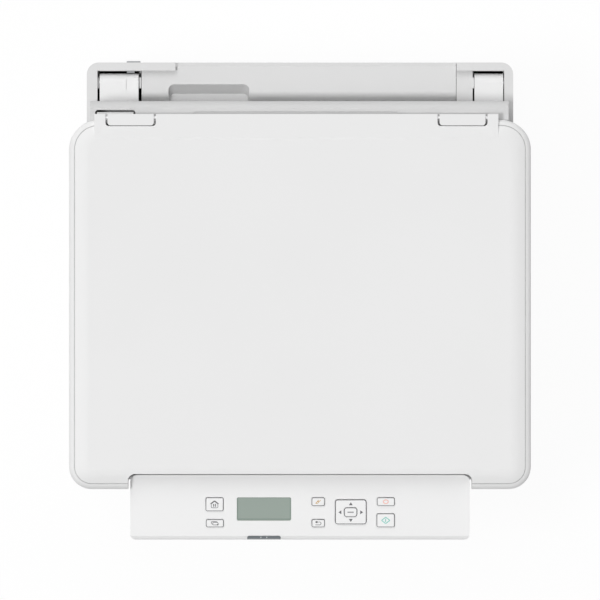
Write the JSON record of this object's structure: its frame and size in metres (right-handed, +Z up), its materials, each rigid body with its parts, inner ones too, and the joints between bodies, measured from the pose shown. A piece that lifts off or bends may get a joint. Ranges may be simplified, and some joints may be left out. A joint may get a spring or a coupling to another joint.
{
  "type": "laser multifunction printer",
  "caption": "Desktop laser printer with flatbed scanner: hinged lid, sloping key panel, lifting scanner, output tray, fold-down front and rear covers.",
  "frame": {"origin": "centre of the footprint, on the plane the feet stand on", "axes": "+Z up, +Y to the rear (hinge side), +X to the right seen from the front"},
  "size_m": [0.39, 0.405, 0.29],
  "materials": {
    "shell_white": "fine moulded texture",
    "key_white": "smooth",
    "stop_grey": "satin",
    "inner_black": "matt",
    "gear_resin": "smooth resin",
    "steel": "plated sheet and bar",
    "rubber": "soft",
    "drum_coat": "glossy coating",
    "board_green": "solder mask",
    "clear_glass": "polished",
    "display": "grey-green display",
    "lamp_lens": "smoked lens",
    "pad_white": "foam-backed film"
  },
  "bodies": {
    "body": {"bottom_frame": "inner_black", "rubber_feet": "rubber", "left_cover": "shell_white", "right_cover": "shell_white", "front_cover": "shell_white", "rear_housing": "shell_white", "hinge_stop": "stop_grey", "scanner_hinge_pins": "steel", "side_frames": "steel", "exit_guide": "shell_white", "fuser_housing": "inner_black", "laser_unit": "inner_black", "toner_cartridge": "inner_black", "drive_motor": "steel", "main_board": "board_green", "power_supply": "board_green", "power_inlet": "inner_black", "fan_frame": "inner_black"},
    "scanner": {"scanner_base": "shell_white", "scanner_top_frame": "shell_white", "platen_glass": "clear_glass", "scanner_hinge_arms": "key_white", "carriage_rod": "steel", "carriage_belt": "inner_black", "panel_housing": "shell_white", "panel_board": "board_green", "lcd_window": "display", "led_lens": "lamp_lens"},
    "sensor_carriage": {"image_sensor": "inner_black"},
    "lid_hinges": {"lid_hinge_legs": "key_white"},
    "lid": {"lid_cover": "shell_white", "lid_inner_plate": "inner_black", "lid_pad": "pad_white"},
    "nav_gimbal": {"nav_frame": "inner_black"},
    "nav_key": {"nav_ring": "key_white"},
    "output_tray": {"toner_cover": "shell_white"},
    "stop_flap": {"paper_stop": "stop_grey"},
    "front_door": {"tray_door": "shell_white"},
    "paper_bed": {"lift_plate": "steel"},
    "left_guide": {"paper_guide_left": "stop_grey"},
    "right_guide": {"paper_guide_right": "stop_grey"},
    "rack_pinion": {"guide_pinion": "inner_black"},
    "rear_door": {"rear_cover": "shell_white"},
    "drum_unit": {"drum": "drum_coat"},
    "idler": {"idler_gear": "gear_resin"},
    "pinion": {"motor_pinion": "gear_resin"},
    "feeder": {"feed_roller": "rubber"},
    "transfer": {"transfer_roller": "rubber"},
    "fuser_heat": {"heat_roller": "drum_coat"},
    "fuser_pressure": {"pressure_roller": "rubber"},
    "delivery": {"delivery_roller": "rubber"},
    "fan": {"cooling_fan": "inner_black"},
    "power_switch": {"power_button": "key_white"},
    "home_key_body": {"home_key": "key_white"},
    "id_copy_key_body": {"id_copy_key": "key_white"},
    "reset_key_body": {"reset_key": "key_white"},
    "back_key_body": {"back_key": "key_white"},
    "stop_key_body": {"stop_key": "key_white"},
    "start_key_body": {"start_key": "key_white"},
    "ok_key_body": {"ok_key": "key_white"}
  },
  "joints": [
    {"name": "scanner_lift", "type": "hinge", "parent": "body", "child": "scanner", "pos_m": [0, 0.184, 0.211], "axis": [-1, 0, 0], "range_deg": [0, 35]},
    {"name": "toner_cover_lift", "type": "hinge", "parent": "body", "child": "output_tray", "pos_m": [0, 0.1, 0.148], "axis": [-1, 0, 0], "range_deg": [0, 44]},
    {"name": "stop_flap_turn", "type": "hinge", "parent": "output_tray", "child": "stop_flap", "pos_m": [0, -0.128, 0.17434], "axis": [1, 0, 0], "range_deg": [0, 65]},
    {"name": "lid_rise", "type": "slide", "parent": "scanner", "child": "lid_hinges", "axis": [0, 0, 1], "range_m": [0, 0.015]},
    {"name": "lid_open", "type": "hinge", "parent": "lid_hinges", "child": "lid", "pos_m": [0, 0.154, 0.2878], "axis": [-1, 0, 0], "range_deg": [0, 80]},
    {"name": "sensor_travel", "type": "slide", "parent": "scanner", "child": "sensor_carriage", "axis": [1, 0, 0], "range_m": [0, 0.28]},
    {"name": "home_press", "type": "slide", "parent": "scanner", "child": "home_key_body", "axis": [0, 0.2079, -0.9781], "range_m": [0, 0.0008], "stiffness_N_per_m": 400},
    {"name": "id_copy_press", "type": "slide", "parent": "scanner", "child": "id_copy_key_body", "axis": [0, 0.2079, -0.9781], "range_m": [0, 0.0008], "stiffness_N_per_m": 400},
    {"name": "reset_press", "type": "slide", "parent": "scanner", "child": "reset_key_body", "axis": [0, 0.2079, -0.9781], "range_m": [0, 0.0008], "stiffness_N_per_m": 400},
    {"name": "back_press", "type": "slide", "parent": "scanner", "child": "back_key_body", "axis": [0, 0.2079, -0.9781], "range_m": [0, 0.0008], "stiffness_N_per_m": 400},
    {"name": "stop_press", "type": "slide", "parent": "scanner", "child": "stop_key_body", "axis": [0, 0.2079, -0.9781], "range_m": [0, 0.0008], "stiffness_N_per_m": 400},
    {"name": "start_press", "type": "slide", "parent": "scanner", "child": "start_key_body", "axis": [0, 0.2079, -0.9781], "range_m": [0, 0.0008], "stiffness_N_per_m": 400},
    {"name": "ok_press", "type": "slide", "parent": "scanner", "child": "ok_key_body", "axis": [0, 0.2079, -0.9781], "range_m": [0, 0.0008], "stiffness_N_per_m": 400},
    {"name": "nav_sideways", "type": "hinge", "parent": "scanner", "child": "nav_gimbal", "pos_m": [0.0429, -0.17762, 0.26563], "axis": [0, 0.9781, 0.2079], "range_deg": [-2, 2], "stiffness_Nm_per_rad": 0.05},
    {"name": "nav_lengthways", "type": "hinge", "parent": "nav_gimbal", "child": "nav_key", "pos_m": [0.0429, -0.17787, 0.2668], "axis": [1, 0, 0], "range_deg": [-2, 2], "stiffness_Nm_per_rad": 0.05},
    {"name": "tray_door_open", "type": "hinge", "parent": "body", "child": "front_door", "pos_m": [0, -0.147, 0.015], "axis": [1, 0, 0], "range_deg": [0, 88]},
    {"name": "bed_lift", "type": "hinge", "parent": "body", "child": "paper_bed", "pos_m": [0, -0.138, 0.017], "axis": [1, 0, 0], "range_deg": [0, 6]},
    {"name": "left_guide_slide", "type": "slide", "parent": "paper_bed", "child": "left_guide", "axis": [1, 0, 0], "range_m": [0, 0.05]},
    {"name": "right_guide_slide", "type": "slide", "parent": "paper_bed", "child": "right_guide", "axis": [-1, 0, 0], "range_m": [0, 0.05]},
    {"name": "pinion_turn", "type": "hinge", "parent": "paper_bed", "child": "rack_pinion", "pos_m": [0, -0.09508, 0.012], "axis": [0, 0, 1], "range_deg": [-280, 280]},
    {"name": "rear_cover_open", "type": "hinge", "parent": "body", "child": "rear_door", "pos_m": [0, 0.1955, 0.036], "axis": [-1, 0, 0], "range_deg": [0, 85]},
    {"name": "drum_turn", "type": "hinge", "parent": "body", "child": "drum_unit", "pos_m": [0, 0.02, 0.062], "axis": [1, 0, 0], "continuous": true},
    {"name": "idler_turn", "type": "hinge", "parent": "body", "child": "idler", "pos_m": [0, 0.06766, 0.08016], "axis": [1, 0, 0], "continuous": true},
    {"name": "motor_turn", "type": "hinge", "parent": "body", "child": "pinion", "pos_m": [0, 0.06766, 0.11616], "axis": [1, 0, 0], "continuous": true},
    {"name": "feed_turn", "type": "hinge", "parent": "body", "child": "feeder", "pos_m": [0, -0.028, 0.04477], "axis": [1, 0, 0], "continuous": true},
    {"name": "transfer_turn", "type": "hinge", "parent": "body", "child": "transfer", "pos_m": [0, 0.02, 0.0427], "axis": [1, 0, 0], "continuous": true},
    {"name": "heat_turn", "type": "hinge", "parent": "body", "child": "fuser_heat", "pos_m": [0, 0.118, 0.072], "axis": [1, 0, 0], "continuous": true},
    {"name": "pressure_turn", "type": "hinge", "parent": "body", "child": "fuser_pressure", "pos_m": [0, 0.118, 0.0477], "axis": [1, 0, 0], "continuous": true},
    {"name": "delivery_turn", "type": "hinge", "parent": "body", "child": "delivery", "pos_m": [0, 0.128, 0.176], "axis": [1, 0, 0], "continuous": true},
    {"name": "fan_turn", "type": "hinge", "parent": "body", "child": "fan", "pos_m": [0, -0.02, 0.091], "axis": [1, 0, 0], "continuous": true},
    {"name": "power_press", "type": "slide", "parent": "body", "child": "power_switch", "axis": [0, 1, 0], "range_m": [0, 0.0012], "stiffness_N_per_m": 400}
  ],
  "couplings": [
    {"joint": "toner_cover_lift", "follows": "scanner_lift", "ratio": 1.25},
    {"joint": "right_guide_slide", "follows": "left_guide_slide", "ratio": 1},
    {"joint": "pinion_turn", "follows": "left_guide_slide", "rad_per_m": -95.238},
    {"joint": "idler_turn", "follows": "drum_turn", "ratio": -0.88889},
    {"joint": "motor_turn", "follows": "drum_turn", "ratio": 2.6667},
    {"joint": "feed_turn", "follows": "drum_turn", "ratio": -0.88889},
    {"joint": "transfer_turn", "follows": "drum_turn", "ratio": -1.7143},
    {"joint": "heat_turn", "follows": "drum_turn", "ratio": 1},
    {"joint": "pressure_turn", "follows": "drum_turn", "ratio": -1},
    {"joint": "delivery_turn", "follows": "drum_turn", "ratio": 1.7143}
  ]
}
